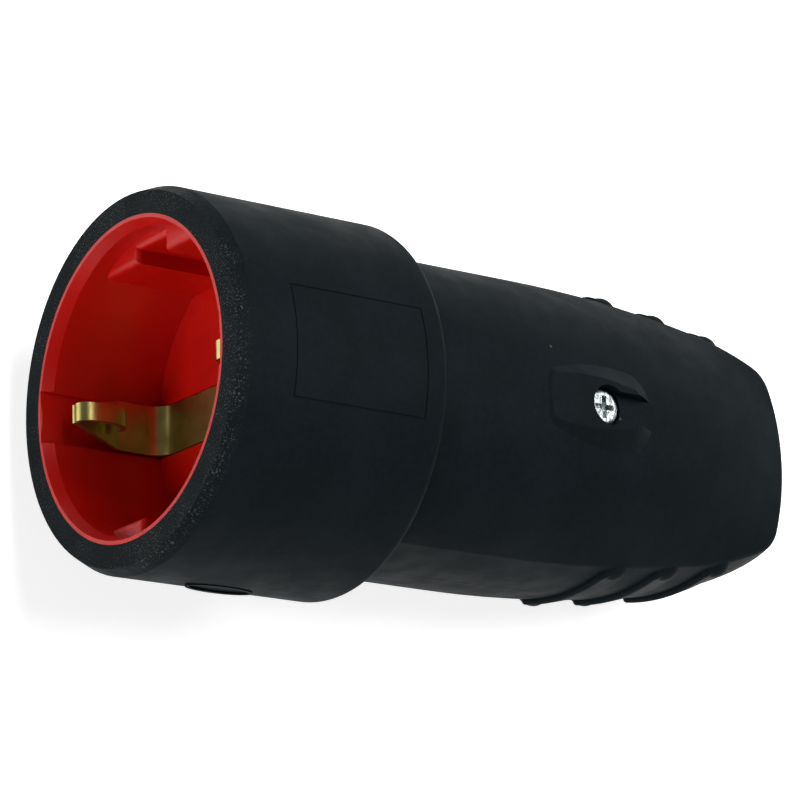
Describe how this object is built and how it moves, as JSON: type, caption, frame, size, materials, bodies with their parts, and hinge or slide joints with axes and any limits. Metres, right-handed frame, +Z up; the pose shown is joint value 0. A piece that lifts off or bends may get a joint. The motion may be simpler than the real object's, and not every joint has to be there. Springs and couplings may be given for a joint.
{
  "type": "cable coupler",
  "caption": "Black rubber cable coupler with a round cup, a tapering ribbed grip and a red recessed socket with brass earth clips, made for the end of a lead.",
  "frame": {"origin": "centre of the bounding box's base, on the surface that the coupler lies on", "axes": "+X from the mouth to the lead's entry, +Z up on the side with the housing screw, +Y across; the coupler's own axis dips 8.09 degrees towards the entry, because it rests on the cup's rear edge and the grip's underside"},
  "size_m": [0.1038, 0.0496, 0.0527],
  "materials": {
    "housing_rubber": "satin",
    "insert_plastic": "semi-gloss",
    "carrier_plastic": "matte",
    "earth_brass": "brushed",
    "terminal_brass": "satin",
    "spring_steel": "satin",
    "screw_steel": "zinc plated"
  },
  "bodies": {
    "root": {"housing": "housing_rubber", "socket_insert": "insert_plastic", "earth_bracket": "earth_brass", "earth_screw": "screw_steel", "earth_terminal": "terminal_brass", "line_contact_left": "terminal_brass", "line_contact_right": "terminal_brass", "contact_spring_left": "spring_steel", "contact_spring_right": "spring_steel", "contact_carrier": "carrier_plastic", "thread_insert": "terminal_brass", "housing_screw": "screw_steel", "terminal_screw_left": "screw_steel", "terminal_screw_right": "screw_steel", "terminal_screw_earth": "screw_steel", "assembly_screw_left": "screw_steel", "assembly_screw_right": "screw_steel", "cord_clamp": "carrier_plastic", "clamp_screw_left": "screw_steel", "clamp_screw_right": "screw_steel"}
  },
  "joints": []
}
